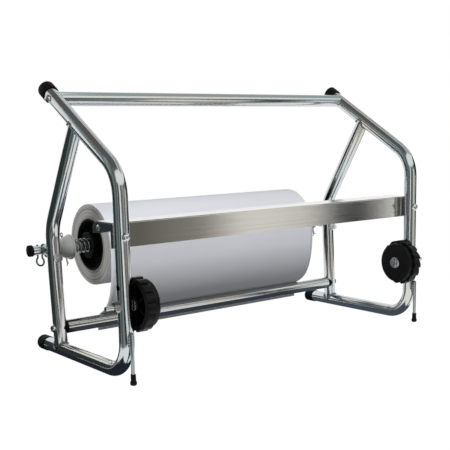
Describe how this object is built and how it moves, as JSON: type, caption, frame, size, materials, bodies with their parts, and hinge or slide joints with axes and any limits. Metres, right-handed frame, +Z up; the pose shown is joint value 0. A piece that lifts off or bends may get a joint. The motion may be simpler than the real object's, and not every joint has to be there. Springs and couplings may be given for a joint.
{
  "type": "masking paper dispenser",
  "caption": "Tubular bench stand that holds a wide masking paper roll on a sprung spindle, with a tear-off bar, a hinged paper flap and side hubs for masking tape.",
  "frame": {"origin": "on the bench, below the middle of the stand: midway between the side frames, and midway between the front of the tape hubs and the rear of the paper roll", "axes": "+X from the left side frame to the right one, +Y from the front legs to the paper roll at the rear, +Z up"},
  "size_m": [0.61, 0.3094, 0.3942],
  "materials": {
    "zinc_tube": "bright zinc plating",
    "zinc_hardware": "bright zinc plating",
    "spring_wire": "plated spring wire",
    "stainless_strip": "brushed along its length",
    "bracket_steel": "dark satin",
    "black_rubber": "matt",
    "black_plastic": "matt moulded",
    "nylon": "natural",
    "paper": "white, slightly creased",
    "card": "wound board"
  },
  "bodies": {
    "frame": {"left_side_tube": "zinc_tube", "right_side_tube": "zinc_tube", "left_rear_strut": "zinc_tube", "right_rear_strut": "zinc_tube", "top_cross_bar": "zinc_tube", "lower_cross_bar": "zinc_tube", "bar_end_plugs": "black_rubber", "top_bar_bolts": "zinc_hardware", "lower_bar_bolts": "zinc_hardware", "left_top_cap": "black_rubber", "right_top_cap": "black_rubber", "left_foot_cap": "black_rubber", "right_foot_cap": "black_rubber", "left_support_rod": "zinc_tube", "right_support_rod": "zinc_tube", "left_rod_tip": "black_rubber", "right_rod_tip": "black_rubber", "cutter_bar": "stainless_strip", "cutter_bolts": "zinc_hardware", "cutter_nuts": "zinc_hardware", "left_flap_bracket": "bracket_steel", "right_flap_bracket": "bracket_steel", "flap_rivets": "zinc_hardware", "left_hook_bolt": "zinc_hardware", "right_hook_bolt": "zinc_hardware", "hook_nuts": "zinc_hardware", "hook_washers": "zinc_hardware", "left_hub_bolt": "zinc_hardware", "right_hub_bolt": "zinc_hardware", "hub_nuts": "zinc_hardware", "hub_washers": "zinc_hardware", "paper_web": "paper"},
    "flap": {"paper_flap": "stainless_strip"},
    "left_hub": {"left_tape_hub": "black_plastic"},
    "right_hub": {"right_tape_hub": "black_plastic"},
    "spindle": {"spindle_tube": "zinc_tube", "spindle_plugs": "black_rubber", "left_spring_clip": "spring_wire", "right_spring_clip": "spring_wire", "split_pins": "zinc_hardware", "left_nylon_bell": "nylon", "right_nylon_bell": "nylon", "left_coil_spring": "spring_wire", "right_coil_spring": "spring_wire", "core_tube": "card", "paper_roll": "paper"},
    "left_cone": {"left_core_cone": "black_plastic"},
    "right_cone": {"right_core_cone": "black_plastic"}
  },
  "joints": [
    {"name": "flap_hinge", "type": "hinge", "parent": "frame", "child": "flap", "pos_m": [0, -0.07374, 0.2008], "axis": [-1, 0, 0], "range_deg": [0, 95]},
    {"name": "left_hub_spin", "type": "hinge", "parent": "frame", "child": "left_hub", "pos_m": [-0.25, -0.11874, 0.1025], "axis": [1, 0, 0], "continuous": true},
    {"name": "right_hub_spin", "type": "hinge", "parent": "frame", "child": "right_hub", "pos_m": [0.25, -0.11874, 0.1025], "axis": [1, 0, 0], "continuous": true},
    {"name": "roll_spin", "type": "hinge", "parent": "frame", "child": "spindle", "pos_m": [0, 0.09374, 0.1565], "axis": [1, 0, 0], "continuous": true},
    {"name": "left_cone_slide", "type": "slide", "parent": "spindle", "child": "left_cone", "axis": [-1, 0, 0], "range_m": [0, 0.014], "stiffness_N_per_m": 400, "springref_m": -0.02, "deforming": ["left_coil_spring"]},
    {"name": "right_cone_slide", "type": "slide", "parent": "spindle", "child": "right_cone", "axis": [1, 0, 0], "range_m": [0, 0.014], "stiffness_N_per_m": 400, "springref_m": -0.01, "deforming": ["right_coil_spring"]}
  ]
}
